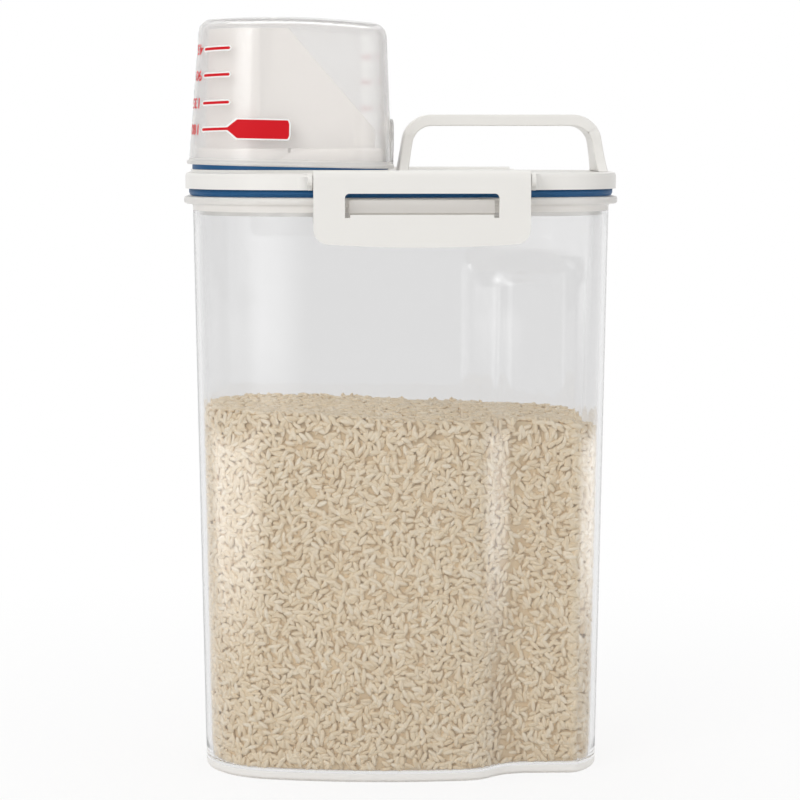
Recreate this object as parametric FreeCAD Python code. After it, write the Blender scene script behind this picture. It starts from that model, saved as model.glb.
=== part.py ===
import FreeCAD, Part
import math
import os

# A clear grain jar with a white lid: a tall pour spout with a measuring cup pushed over it,
# a carrying handle, and one flip clip on each long side.
# Millimetres. The origin is the middle of the base, +X points to the handle end,
# -X to the spout end, +Y to the back and +Z up. The front and the back are alike.

Vector = FreeCAD.Vector
ORIGIN = Vector(0, 0, 0)
X_AXIS = Vector(1, 0, 0)
Y_AXIS = Vector(0, 1, 0)
Z_AXIS = Vector(0, 0, 1)

# Jar: plan sizes are the outside of the wall at the rim
jar_height = 219.4
half_length = 79.05
half_depth = 48.0
crown_radius = 220.0
spout_corner = 35.0
grip_corner = 30.0
wall = 2.0
floor_thickness = 3.5
draft_angle = 1.0
foot_chamfer = 1.5
floor_bevel = 1.2
flange_overhang = 3.3
flange_thickness = 2.8
flange_round = 1.0
small_round_steps = 2

# Finger grip: the drawn-in part of both long walls near the handle end
grip_half_depth = 35.2
swell_centre = 22.0
swell_radius = 20.0
hollow_radius = 14.0
grip_edge_radius = 9.0
grip_top = 198.0
grip_ledge = 12.0
ledge_steps = 3

# Rice in the jar
rice_level = 138.0
rice_fall = 2.5
rice_gap = 0.1

# Lid and its gasket
gasket_height = 2.9
gasket_gap = 0.1
gasket_setback = 1.35
gasket_round = 1.4
lid_height = 6.2
lid_overhang = 2.7
lid_round = 1.3
lid_plate = 2.2
plug_reach = 6.9
plug_clearance = 0.5
plug_wall = 1.8
skirt_wall = 3.5
groove_depth = 2.2
bead_clearance = 0.15

# Measuring cup: plan sizes are the outside of its wall at the mouth, and it stands mouth down
cup_half = 38.25
cup_overhang = 1.25
cup_height = 56.2
cup_wall = 1.6
cup_taper = 3.3
cup_outer_corner = 28.0
cup_inner_corner = 15.0
cup_round = 4.0
cup_round_steps = 3
cup_dome = 1.6
cup_dome_margin = 0.5
cup_lip = 0.8
cup_lip_thickness = 1.6
cup_tilt = 1.2
tab_half_width = 12.0
tab_height = 18.5
tab_thickness = 0.9

# Plinth on the lid, the seal on it, and the spout through it
plinth_height = 1.0
plinth_inset = 0.7
seal_inset = 1.3
seal_height = 1.2
seal_gap = 0.1
seal_chamfer = 0.25
collar_inset = 3.2
collar_height = 8.1
collar_notch = 1.0
collar_notch_depth = 1.8
spout_inset = 5.9
spout_taper = 1.8
spout_wall = 1.6
spout_height = 52.2
spout_low_side = 14.0
spout_flat_end = -0.3
spout_reach = 3.0
spout_clearance = 0.1
spout_ledge = 1.2
spout_ledge_thickness = 1.4

# Handle: an arch that stands on the lid, with feet that widen towards it
handle_end_gap = 0.65
handle_cup_gap = 2.8
handle_lean = 3.5
handle_height = 21.6
handle_bar = 4.3
handle_leg = 3.7
handle_outer_round = 11.0
handle_inner_round = 7.5
handle_half_depth = 10.0
handle_foot_half_depth = 17.0
handle_flare_height = 14.0
tab_depth = 1.8
tab_half_depth = 11.0
tab_wall = 2.0
tab_fit = 0.05

# Clips: one at the front and one at the back, and the catches of the jar under them
clip_centre = 6.3
clip_half_width = 39.65
clip_thickness = 2.4
clip_drop = 24.8
clip_bow = 1.6
clip_corner = 5.6
clip_barrel = 3.3
clip_rise = 1.1
clip_gap = 0.3
clip_end_gap = 0.3
slot_half_width = 28.15
slot_top_drop = 5.1
slot_height = 7.7
slot_corner = 1.6
slot_notch_width = 1.9
slot_notch_depth = 1.1
catch_half_width = 26.6
catch_face = 0.8
catch_height = 5.0
catch_top_drop = 0.5
pin_radius = 1.2
pin_length = 1.4
pin_fit = 0.05
ear_thickness = 1.7
ear_radius = 2.4

# Levels and places that follow from the sizes above
draft = math.tan(math.radians(draft_angle))
crown_centre_y = half_depth - crown_radius
lid_bottom = jar_height + gasket_height
lid_top = lid_bottom + lid_height
plug_inset = wall + plug_clearance + draft * plug_reach
plinth_top = lid_top + plinth_height
ledge_bottom = plinth_top - spout_ledge_thickness
mouth_level = plinth_top + seal_height
cup_centre = cup_half - half_length - cup_overhang
handle_right = half_length - handle_end_gap
handle_left = cup_centre + cup_half + handle_cup_gap
handle_centre = (handle_right + handle_left) / 2
handle_half_foot = (handle_right - handle_left) / 2
handle_half_top = handle_half_foot - handle_lean
catch_y = half_depth + flange_overhang + catch_face
clip_inner_y = catch_y + clip_gap
clip_outer_y = clip_inner_y + clip_thickness
hinge_y = clip_outer_y - clip_barrel
hinge_z = lid_top + clip_rise - clip_barrel


def tangent_centre(x, radius):
    """Centre, at a given x, of an arc that touches the crowned long side from inside."""
    y = crown_centre_y + math.sqrt((crown_radius - radius) ** 2 - x ** 2)
    return (x, y)


def heading(start, end):
    """Angle, in radians, of the line from one point of the plan to another."""
    return math.atan2(end[1] - start[1], end[0] - start[0])


crown_centre = (0.0, crown_centre_y)
spout_centre = tangent_centre(spout_corner - half_length, spout_corner)
grip_centre = tangent_centre(half_length - grip_corner, grip_corner)
swell = tangent_centre(swell_centre, swell_radius)
hollow_y = grip_half_depth + hollow_radius
hollow_run = math.sqrt((swell_radius + hollow_radius) ** 2 - (hollow_y - swell[1]) ** 2)
hollow = (swell[0] + hollow_run, hollow_y)
edge_y = grip_half_depth - grip_edge_radius
edge_run = math.sqrt((grip_corner - grip_edge_radius) ** 2 - (edge_y - grip_centre[1]) ** 2)
edge = (grip_centre[0] + edge_run, edge_y)
grip_turn = heading(crown_centre, grip_centre)
swell_turn = heading(crown_centre, swell)
spout_turn = heading(crown_centre, spout_centre)


def straight(first, last):
    """Straight edge between two points."""
    return Part.LineSegment(first, last).toShape()


def bent(first, middle, last):
    """Arc edge through three points."""
    return Part.Arc(first, middle, last).toShape()


def arc(centre, radius, start, end):
    """Edge of a circle in plan between two angles."""
    points = [
        Vector(centre[0] + radius * math.cos(angle), centre[1] + radius * math.sin(angle), 0)
        for angle in (start, (start + end) / 2, end)
    ]
    return bent(*points)


def line(x1, y1, x2, y2):
    """Straight edge in plan."""
    return straight(Vector(x1, y1, 0), Vector(x2, y2, 0))


def through(first, middle, last):
    """Arc through three points, or a straight edge where they lie in line."""
    if middle.distanceToLine(first, last - first) < 0.0001:
        return straight(first, last)
    return bent(first, middle, last)


def laid_on(wire, height):
    """Copy of a flat wire, its edges run through points at the height that a function of x and y gives."""
    edges = []
    for piece in wire.OrderedEdges:
        span = piece.LastParameter - piece.FirstParameter
        spots = [piece.valueAt(piece.FirstParameter + part * span) for part in (0, 0.5, 1)]
        edges.append(through(*[Vector(spot.x, spot.y, height(spot.x, spot.y)) for spot in spots]))
    return Part.Wire(edges)


def closed_outline(back_edges, inset, level):
    """Closed wire from the edges of the back half, run from +X to -X, and their mirror images."""
    right, left = half_length - inset, inset - half_length
    front_edges = [piece.mirror(ORIGIN, Y_AXIS) for piece in reversed(back_edges)]
    right_end = line(right, -grip_centre[1], right, grip_centre[1])
    left_end = line(left, spout_centre[1], left, -spout_centre[1])
    wire = Part.Wire([right_end] + back_edges + [left_end] + front_edges)
    wire.translate(Vector(0, 0, level))
    return wire


def rim_outline(inset, level):
    """Jar plan above the grip, drawn in by inset: crowned sides between four corner arcs."""
    edges = [
        arc(grip_centre, grip_corner - inset, 0, grip_turn),
        arc(crown_centre, crown_radius - inset, grip_turn, spout_turn),
        arc(spout_centre, spout_corner - inset, spout_turn, math.pi),
    ]
    return closed_outline(edges, inset, level)


def plain_half(inset):
    """Back half of the jar plan above the grip, cut where the gripped plan below it has its joints."""
    face_turn = heading(grip_centre, (edge[0], grip_half_depth))
    hollow_turn = heading(crown_centre, (hollow[0], grip_half_depth))
    joint_angle = heading(swell, hollow)
    joint_x = swell[0] + swell_radius * math.cos(joint_angle)
    joint_y = swell[1] + swell_radius * math.sin(joint_angle)
    corner_turns = [0, heading(grip_centre, edge), face_turn, grip_turn]
    joint_turn = heading(crown_centre, (joint_x, joint_y))
    crown_turns = [grip_turn, hollow_turn, joint_turn, swell_turn, spout_turn]
    runs = zip(corner_turns, corner_turns[1:])
    corner = [arc(grip_centre, grip_corner - inset, *turns) for turns in runs]
    runs = zip(crown_turns, crown_turns[1:])
    crown = [arc(crown_centre, crown_radius - inset, *turns) for turns in runs]
    return corner + crown + [arc(spout_centre, spout_corner - inset, spout_turn, math.pi)]


def gripped_half(inset):
    """Back half of the jar plan through the grip: a flat face between a rounded edge and a soft S."""
    edge_turn = heading(grip_centre, edge)
    face_y = grip_half_depth - inset
    seam_x = crown_radius * math.cos(grip_turn)
    return [
        arc(grip_centre, grip_corner - inset, 0, edge_turn),
        arc(edge, grip_edge_radius - inset, edge_turn, math.pi / 2),
        line(edge[0], face_y, seam_x, face_y),
        line(seam_x, face_y, hollow[0], face_y),
        arc(hollow, hollow_radius + inset, -math.pi / 2, heading(hollow, swell)),
        arc(swell, swell_radius - inset, heading(swell, hollow), swell_turn),
        arc(crown_centre, crown_radius - inset, swell_turn, spout_turn),
        arc(spout_centre, spout_corner - inset, spout_turn, math.pi),
    ]


def between(deep, plain, share):
    """Arc that lies a given share of the way from an edge of the plain plan to one of the gripped plan."""
    points = []
    for place in (0, 0.5, 1):
        on_deep, on_plain = [piece.valueAt(place * piece.LastParameter) for piece in (deep, plain)]
        points.append(on_deep * share + on_plain * (1 - share))
    return through(*points)


def body_outline(inset, level, grip_share):
    """Jar plan drawn in by inset, with the grip at a share of its full depth."""
    if grip_share == 0:
        return closed_outline(plain_half(inset), inset, level)
    if grip_share == 1:
        return closed_outline(gripped_half(inset), inset, level)
    pairs = zip(gripped_half(inset), plain_half(inset))
    return closed_outline([between(deep, plain, grip_share) for deep, plain in pairs], inset, level)


def cup_outline(inset, level):
    """Plan shared by the cup, its seal, the plinth and the spout, drawn in from the cup's mouth."""
    half = cup_half - inset
    outer, inner = cup_outer_corner - inset, cup_inner_corner - inset
    right, left = cup_centre + half, cup_centre - half
    quarter = math.pi / 2
    edges = [
        line(right, inner - half, right, half - inner),
        arc((right - inner, half - inner), inner, 0, quarter),
        line(right - inner, half, left + outer, half),
        arc((left + outer, half - outer), outer, quarter, 2 * quarter),
        line(left, half - outer, left, outer - half),
        arc((left + outer, outer - half), outer, 2 * quarter, 3 * quarter),
        line(left + outer, -half, right - inner, -half),
        arc((right - inner, inner - half), inner, 3 * quarter, 4 * quarter),
    ]
    wire = Part.Wire(edges)
    wire.translate(Vector(0, 0, level))
    return wire


def prism(wire, height):
    """Solid from a closed plan wire, pulled up by height."""
    return Part.Face(wire).extrude(Z_AXIS * height)


def loft(wires):
    """Solid with straight rulings through a stack of matching wires."""
    return Part.makeLoft(wires, True, True)


def quarter_round(radius, steps):
    """Draw-in and rise of the points up a quarter-round edge, from the upright wall to the flat."""
    if radius == 0:
        return [(0, 0)]
    turns = [math.pi / 2 * step / steps for step in range(steps + 1)]
    return [(radius * (1 - math.cos(turn)), radius * math.sin(turn)) for turn in turns]


def slab(outline, inset, bottom, top, low_round, high_round, steps=small_round_steps):
    """Plate in a plan, with quarter-round edges below and above, each in a few ruled bands."""
    low = [(draw, bottom + low_round - rise) for draw, rise in reversed(quarter_round(low_round, steps))]
    high = [(draw, top - high_round + rise) for draw, rise in quarter_round(high_round, steps)]
    return loft([outline(inset + draw, level) for draw, level in low + high])


def box_between(x1, x2, y1, y2, z1, z2):
    """Box from its limits on each axis."""
    return Part.makeBox(x2 - x1, y2 - y1, z2 - z1, Vector(x1, y1, z1))


def bar_along_x(points, x1, x2):
    """Prism along X from the corners of its YZ section."""
    corners = [Vector(x1, y, z) for y, z in points]
    return Part.Face(Part.makePolygon(corners + corners[:1])).extrude(X_AXIS * (x2 - x1))


def mirrored(solid):
    """The same solid at the back of the jar."""
    return solid.mirror(ORIGIN, Y_AXIS)


def one_solid(shape):
    """The single solid of a shape that came out of a cut or a fuse, with split faces joined."""
    return shape.removeSplitter().Solids[0]


def body_ring(offset, level, grip_share):
    """Jar plan at a level, drawn in by the draft below the rim and by a further offset."""
    return body_outline(offset + (jar_height - level) * draft, level, grip_share)


def body_stack(offset, bottom, bevel, top):
    """Wires of the drafted body from its bevelled bottom to its top, with a soft ledge over the grips."""
    levels = [(bottom, bevel, 1), (bottom + bevel, 0, 1)]
    for part in range(ledge_steps + 1):
        rise = part / ledge_steps
        levels.append((grip_top - grip_ledge * (1 - rise), 0, 1 - rise ** 2 * (3 - 2 * rise)))
    levels.append((top, 0, 0))
    return [body_ring(offset + extra, level, grip_share) for level, extra, grip_share in levels]


def jar_body():
    """Open clear jar: drafted walls with the two grips, a rolled flange and a catch under each clip."""
    outside = loft(body_stack(0, 0, foot_chamfer, jar_height))
    flange_bottom = jar_height - flange_thickness
    flange = slab(rim_outline, -flange_overhang, flange_bottom, jar_height, flange_round, flange_round)
    catch_top = jar_height - catch_top_drop
    inner_y = half_depth - 2 * flange_overhang
    section = [
        (-inner_y, catch_top),
        (-catch_y, catch_top),
        (-catch_y, catch_top - catch_height),
        (-catch_y + catch_height / 2, catch_top - catch_height),
        (-inner_y, catch_top - 2 * catch_height),
    ]
    catch = bar_along_x(section, clip_centre - catch_half_width, clip_centre + catch_half_width)
    cavity = loft(body_stack(wall, floor_thickness, floor_bevel, jar_height))
    solid = outside.fuse([flange, catch, mirrored(catch)]).cut(cavity)
    return one_solid(solid)


def rice_fill():
    """Rice in the lower part of the jar, with a top that falls towards the handle end."""
    offset = wall + rice_gap
    bottom = floor_thickness + rice_gap
    wires = [(floor_bevel, bottom), (0, bottom + floor_bevel), (0, grip_top - grip_ledge)]
    fill = loft([body_ring(offset + extra, level, 1) for extra, level in wires])
    reach = 2 * half_length
    fall = rice_fall * reach / half_length
    section = [
        Vector(-reach, -reach, rice_level + fall),
        Vector(reach, -reach, rice_level - fall),
        Vector(reach, -reach, jar_height),
        Vector(-reach, -reach, jar_height),
    ]
    above = Part.Face(Part.makePolygon(section + section[:1])).extrude(Y_AXIS * 2 * reach)
    return one_solid(fill.cut(above))


def hinge_ear(x1):
    """Lug of the lid that holds one end of the front clip's pin."""
    seat = Part.makeCylinder(ear_radius, ear_thickness, Vector(x1, -hinge_y, hinge_z), X_AXIS)
    root_y = 2 * flange_overhang - half_depth
    web = box_between(x1, x1 + ear_thickness, -hinge_y, root_y, lid_bottom, lid_top)
    return seat.fuse(web)


def hinge_seat_tools():
    """Cuts of the front clip's seat: room for the barrel, and the bores of the two pins."""
    left = clip_centre - clip_half_width - clip_end_gap
    right = clip_centre + clip_half_width + clip_end_gap
    room_radius = clip_barrel + clip_end_gap
    room = Part.makeCylinder(room_radius, right - left, Vector(left, -hinge_y, hinge_z), X_AXIS)
    front = box_between(left, right, -hinge_y - room_radius, room_radius - hinge_y, lid_bottom - 1, hinge_z)
    bore_start = Vector(left - ear_thickness - 1, -hinge_y, hinge_z)
    bore = Part.makeCylinder(pin_radius + pin_fit, right - left + 2 * ear_thickness + 2, bore_start, X_AXIS)
    return [room, front, bore]


def handle_tab(side, gap):
    """Tongue under one foot of the handle, or its pocket in the lid when gap is more than 0."""
    middle = handle_centre + side * (handle_half_foot - handle_leg / 2)
    half = tab_wall / 2 + gap
    depth = tab_half_depth + gap
    return box_between(middle - half, middle + half, -depth, depth, lid_top - tab_depth - gap, lid_top)


def lid_shell():
    """White lid: top plate, skirt with a gasket groove, plug wall, plinth, ears and handle pockets."""
    cap = slab(rim_outline, -lid_overhang, lid_bottom, lid_top, 0, lid_round)
    plug_bottom = jar_height - plug_reach
    plug = prism(rim_outline(plug_inset, plug_bottom), lid_bottom - plug_bottom + lid_plate)
    plinth = prism(cup_outline(plinth_inset, lid_top - lid_round), plinth_height + lid_round)
    left_ear = hinge_ear(clip_centre - clip_half_width - clip_end_gap - ear_thickness)
    right_ear = hinge_ear(clip_centre + clip_half_width + clip_end_gap)
    ears = [left_ear, right_ear, mirrored(left_ear), mirrored(right_ear)]
    solid = cap.fuse([plug, plinth] + ears)
    hollow_top = lid_top - lid_plate
    cavity = prism(rim_outline(plug_inset + plug_wall, plug_bottom), hollow_top - plug_bottom)
    groove = prism(rim_outline(skirt_wall - lid_overhang, lid_bottom), groove_depth)
    groove = groove.cut(prism(rim_outline(plug_inset, lid_bottom), groove_depth))
    hole = prism(cup_outline(spout_inset - spout_clearance, plug_bottom), plinth_top - plug_bottom)
    rebate = prism(cup_outline(collar_inset - spout_clearance, ledge_bottom), spout_ledge_thickness)
    seats = hinge_seat_tools()
    tools = [cavity, groove, hole, rebate] + seats + [mirrored(tool) for tool in seats]
    tools += [handle_tab(side, tab_fit) for side in (-1, 1)]
    return one_solid(solid.cut(tools))


def lid_gasket():
    """Blue ring between the lid and the flange, with a bead that fills the lid's groove."""
    bottom = jar_height + gasket_gap
    ring = slab(rim_outline, gasket_setback - lid_overhang, bottom, lid_bottom, gasket_round, 0)
    bead_inset = skirt_wall - lid_overhang + bead_clearance
    bead = prism(rim_outline(bead_inset, lid_bottom), groove_depth - bead_clearance)
    inside = prism(rim_outline(plug_inset - bead_clearance, bottom), gasket_height + groove_depth)
    return one_solid(ring.fuse(bead).cut(inside))


def tilted(shape):
    """A shape turned with the cup about the middle of its mouth, the handle side down."""
    turned = shape.copy()
    turned.rotate(Vector(cup_centre, 0, mouth_level), Y_AXIS, cup_tilt)
    return turned


def cup_seal():
    """Blue ring that the cup's mouth presses on, squeezed thinner on the side where the cup sits low."""
    def under_cup(x, y):
        return mouth_level - seal_gap - (x - cup_centre) * math.tan(math.radians(cup_tilt))

    ring = loft([
        cup_outline(seal_inset + seal_chamfer, plinth_top),
        cup_outline(seal_inset, plinth_top + seal_chamfer),
        laid_on(cup_outline(seal_inset, 0), under_cup),
    ])
    inside = prism(cup_outline(collar_inset - spout_clearance, plinth_top), 3 * seal_height)
    return one_solid(ring.cut(inside))


def spout_section(extra, height):
    """Tapered tube of the spout's plan from the lid's underside up, drawn in by extra."""
    bottom = lid_top - lid_plate - spout_reach
    return loft([
        cup_outline(spout_inset + extra, bottom),
        cup_outline(spout_inset + extra, plinth_top),
        cup_outline(spout_inset + spout_taper + extra, plinth_top + height),
    ])


def spout():
    """White pour spout: a tall tube cut off at a slant, on a collar that guides the cup."""
    tube = spout_section(0, spout_height)
    collar = slab(cup_outline, collar_inset, ledge_bottom, plinth_top + collar_height, 0, spout_ledge)
    bore = spout_section(spout_wall, spout_height)
    bore_exit = prism(cup_outline(spout_inset + spout_wall, lid_top - lid_plate - spout_reach - 1), 2)
    cut_start = cup_centre + spout_flat_end
    low_x = cup_centre + cup_half - spout_inset
    high, low = plinth_top + spout_height, plinth_top + spout_low_side
    slope = (high - low) / (low_x - cut_start)
    beyond = low_x + cup_half
    section = [
        Vector(cut_start, -cup_half, high),
        Vector(beyond, -cup_half, high - slope * (beyond - cut_start)),
        Vector(beyond, -cup_half, high + 1),
        Vector(cut_start - 1 / slope, -cup_half, high + 1),
    ]
    slant = Part.Face(Part.makePolygon(section + section[:1])).extrude(Y_AXIS * 2 * cup_half)
    left, right = cup_centre - collar_notch / 2, cup_centre + collar_notch / 2
    collar_top = plinth_top + collar_height
    wall_y = spout_inset - cup_half
    notch = box_between(left, right, -cup_half, wall_y, collar_top - collar_notch_depth, collar_top + 1)
    return one_solid(tube.cut(slant).fuse(collar).cut([bore, bore_exit, notch, mirrored(notch)]))


def cup_shell(inset, height, rounding):
    """Tapered cup body standing on its mouth, with a round edge and a low dome to its closed end."""
    wires = [cup_outline(inset, mouth_level)]
    for draw, rise in quarter_round(rounding, cup_round_steps):
        above_mouth = height - cup_dome - rounding + rise
        draw_in = inset + cup_taper * above_mouth / cup_height + draw
        wires.append(cup_outline(draw_in, mouth_level + above_mouth))
    dome_reach = cup_half - draw_in - cup_dome_margin
    dome_radius = (dome_reach ** 2 + cup_dome ** 2) / (2 * cup_dome)
    dome_centre = Vector(cup_centre, 0, mouth_level + height - dome_radius)
    dome_room = prism(cup_outline(draw_in, mouth_level + height - cup_dome), 2 * cup_dome)
    dome = Part.makeSphere(dome_radius, dome_centre, X_AXIS).common(dome_room)
    return loft(wires).fuse(dome)


def measuring_cup():
    """Clear measuring cup, mouth down over the spout, with a lip and an arched thumb tab."""
    body = cup_shell(0, cup_height, cup_round)
    lip_edge = cup_lip_thickness / 3
    lip = slab(cup_outline, -cup_lip, mouth_level, mouth_level + cup_lip_thickness, lip_edge, lip_edge, 1)
    back_x = cup_centre + cup_half - cup_wall
    spring_z = mouth_level + tab_height - tab_half_width
    feet = [Vector(back_x, side * tab_half_width, mouth_level) for side in (1, -1)]
    springs = [Vector(back_x, side * tab_half_width, spring_z) for side in (1, -1)]
    arch = [
        straight(springs[0], feet[0]),
        straight(feet[0], feet[1]),
        straight(feet[1], springs[1]),
        bent(springs[1], Vector(back_x, 0, mouth_level + tab_height), springs[0]),
    ]
    tab = Part.Face(Part.Wire(arch)).extrude(X_AXIS * (cup_wall + tab_thickness))
    inside = cup_shell(cup_wall, cup_height - cup_wall, cup_round - cup_wall)
    return tilted(one_solid(body.fuse([lip, tab]).cut(inside)))


def handle():
    """Carrying handle: one arch whose legs lean out and widen to feet, with a tongue under each foot."""
    lean = (handle_half_foot - handle_half_top) / handle_height
    inner_height = handle_height - handle_bar
    inner_foot = handle_half_foot - handle_leg
    inner_top = inner_foot - lean * inner_height
    profile = [
        (-handle_half_foot, 0), (-handle_half_top, handle_height), (handle_half_top, handle_height),
        (handle_half_foot, 0), (inner_foot, 0), (inner_top, inner_height), (-inner_top, inner_height),
        (-inner_foot, 0),
    ]
    corners = [Vector(handle_centre + x, -handle_foot_half_depth, lid_top + z) for x, z in profile]
    arch = Part.Face(Part.makePolygon(corners + corners[:1])).extrude(Y_AXIS * 2 * handle_foot_half_depth)

    def turns(solid, level):
        return [
            piece for piece in solid.Edges
            if piece.BoundBox.YLength > handle_foot_half_depth and abs(piece.BoundBox.ZMin - level) < 0.01
        ]

    arch = arch.makeFillet(handle_outer_round, turns(arch, lid_top + handle_height))
    arch = arch.makeFillet(handle_inner_round, turns(arch, lid_top + inner_height))
    foot, bar = handle_foot_half_depth, handle_half_depth
    waist = bar + (foot - bar) / 10
    middle = bar + (foot - bar) * 0.35
    start = handle_centre - handle_half_foot - 1

    def side_point(y, z):
        return Vector(start, y, lid_top + z)

    back = [
        side_point(foot, 0),
        side_point(middle, handle_flare_height / 3),
        side_point(waist, handle_flare_height),
        side_point(bar, handle_height),
    ]
    front = [Vector(point.x, -point.y, point.z) for point in back]
    flare = [
        bent(*back[:3]),
        straight(back[2], back[3]),
        straight(back[3], front[3]),
        straight(front[3], front[2]),
        bent(*front[2::-1]),
        straight(front[0], back[0]),
    ]
    side_view = Part.Face(Part.Wire(flare)).extrude(X_AXIS * (2 * handle_half_foot + 2))
    tongues = [handle_tab(side, 0) for side in (-1, 1)]
    return one_solid(arch.common(side_view).fuse(tongues))


def clip_front():
    """Front flip clip: hinge barrel with two pins, and a plate whose slot frames the jar's catch."""
    left, right = clip_centre - clip_half_width, clip_centre + clip_half_width
    end_z = hinge_z - clip_drop + clip_bow
    outer = -clip_outer_y

    def point(x, z):
        return Vector(x, outer, z)

    outline = [
        straight(point(right, hinge_z), point(left, hinge_z)),
        straight(point(left, hinge_z), point(left, end_z)),
        bent(point(left, end_z), point(clip_centre, end_z - clip_bow), point(right, end_z)),
        straight(point(right, end_z), point(right, hinge_z)),
    ]
    plate = Part.Face(Part.Wire(outline)).extrude(Y_AXIS * clip_thickness)
    across = [piece for piece in plate.Edges if abs(piece.BoundBox.YLength - clip_thickness) < 0.01]
    corners = [piece for piece in across if abs(piece.BoundBox.ZMin - end_z) < 0.01]
    plate = plate.makeFillet(clip_corner, corners)
    barrel = Part.makeCylinder(clip_barrel, right - left, Vector(left, -hinge_y, hinge_z), X_AXIS)
    pin_start = Vector(left - pin_length, -hinge_y, hinge_z)
    pins = Part.makeCylinder(pin_radius, right - left + 2 * pin_length, pin_start, X_AXIS)
    slot_left, slot_right = clip_centre - slot_half_width, clip_centre + slot_half_width
    slot_top = hinge_z - slot_top_drop
    slot_bottom = slot_top - slot_height
    slot_middle = slot_top - slot_height / 2
    notch_bottom = slot_bottom - slot_notch_depth
    front, back = outer - 1, 1 - clip_inner_y
    slot = box_between(slot_left, slot_right, front, back, slot_bottom, slot_top)
    slot_corners = [piece for piece in slot.Edges if piece.BoundBox.YLength > clip_thickness]
    slot = slot.makeFillet(slot_corner, slot_corners)
    notches = [
        box_between(slot_left, slot_left + slot_notch_width, front, back, notch_bottom, slot_middle),
        box_between(slot_right - slot_notch_width, slot_right, front, back, notch_bottom, slot_middle),
    ]
    return one_solid(plate.fuse([barrel, pins]).cut([slot] + notches))


def clip_rear():
    """Rear flip clip, the mirror image of the front one."""
    return mirrored(clip_front())


os.makedirs("parts", exist_ok=True)
builders = [
    jar_body, rice_fill, lid_shell, lid_gasket, spout,
    cup_seal, measuring_cup, handle, clip_front, clip_rear,
]
for builder in builders:
    solid = builder()
    solid.exportStep("parts/" + builder.__name__ + ".step")
    print(builder.__name__, "valid", solid.isValid(), "volume %.0f mm3" % solid.Volume, solid.BoundBox)
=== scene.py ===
import math

import bmesh
import bpy
import numpy as np
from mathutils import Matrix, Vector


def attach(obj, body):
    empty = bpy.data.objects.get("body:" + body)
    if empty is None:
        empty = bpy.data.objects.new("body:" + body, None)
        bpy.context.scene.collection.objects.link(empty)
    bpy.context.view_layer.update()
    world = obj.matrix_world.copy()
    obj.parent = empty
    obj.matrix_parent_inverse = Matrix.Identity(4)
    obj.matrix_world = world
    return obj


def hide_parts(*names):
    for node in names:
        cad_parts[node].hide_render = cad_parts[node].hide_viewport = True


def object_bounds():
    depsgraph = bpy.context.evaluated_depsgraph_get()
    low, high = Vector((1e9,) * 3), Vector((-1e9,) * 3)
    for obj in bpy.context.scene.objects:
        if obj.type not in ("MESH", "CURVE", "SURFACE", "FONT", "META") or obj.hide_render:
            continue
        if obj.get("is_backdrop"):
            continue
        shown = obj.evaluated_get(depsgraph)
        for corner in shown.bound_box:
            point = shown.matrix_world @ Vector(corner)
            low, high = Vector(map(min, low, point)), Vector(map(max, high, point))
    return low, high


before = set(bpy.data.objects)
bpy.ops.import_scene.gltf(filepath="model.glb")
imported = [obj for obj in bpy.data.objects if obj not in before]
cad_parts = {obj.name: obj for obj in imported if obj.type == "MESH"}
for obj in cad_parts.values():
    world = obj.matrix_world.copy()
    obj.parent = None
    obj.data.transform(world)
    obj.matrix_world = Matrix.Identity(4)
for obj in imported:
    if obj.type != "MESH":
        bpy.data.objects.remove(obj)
cad_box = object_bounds()


# The camera stands a metre in front of the jar, a little to its left and level with its handle, and
# looks slightly down and to the right, with the long lens of a product photograph.
LENS, SENSOR_WIDTH = 120.6, 36.0
CAMERA_PLACE = (-0.03594, -1.0314, 0.2442)
LOOK_DOWN, LOOK_RIGHT = 5.75, 2.0

camera_data = bpy.data.cameras.new("camera")
camera_data.lens = LENS
camera_data.sensor_width = SENSOR_WIDTH
camera = bpy.data.objects.new("camera", camera_data)
bpy.context.scene.collection.objects.link(camera)
camera.location = CAMERA_PLACE
camera.rotation_euler = (math.radians(90 - LOOK_DOWN), 0, math.radians(-LOOK_RIGHT))
bpy.context.scene.camera = camera
bpy.context.scene.view_settings.view_transform = "Standard"


# The floor is a plain pale sheet. To the camera, a mirror or clear plastic it is nearly white near
# the jar, where it keeps a faint shadow, and quite white further off.
FLOOR_REACH, SHADOW_REACH, CLEAR_REACH = 4.0, 0.10, 0.42
FLOOR_GREY, NEAR_WHITE = 0.9, 0.86


def new_finish(name):
    """Empty node tree of a new material, with the material."""
    finish = bpy.data.materials.new(name)
    finish.use_nodes = True
    finish.node_tree.nodes.clear()
    return finish, finish.node_tree


def add(tree, kind, values=(), **settings):
    """New shader node of a kind, with its settings, and then its input values by socket."""
    made = tree.nodes.new("ShaderNode" + kind)
    for key, value in settings.items():
        setattr(made, key, value)
    for socket, value in dict(values).items():
        made.inputs[socket].default_value = value
    return made


def seen_share(tree, *rays):
    """Output that is 1 for the named kinds of ray and 0 for the rest: the largest of the Light Path flags."""
    path = add(tree, "LightPath")
    total = path.outputs[rays[0]]
    for ray in rays[1:]:
        larger = add(tree, "Math", operation="MAXIMUM")
        tree.links.new(total, larger.inputs[0])
        tree.links.new(path.outputs[ray], larger.inputs[1])
        total = larger.outputs[0]
    return total


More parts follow.
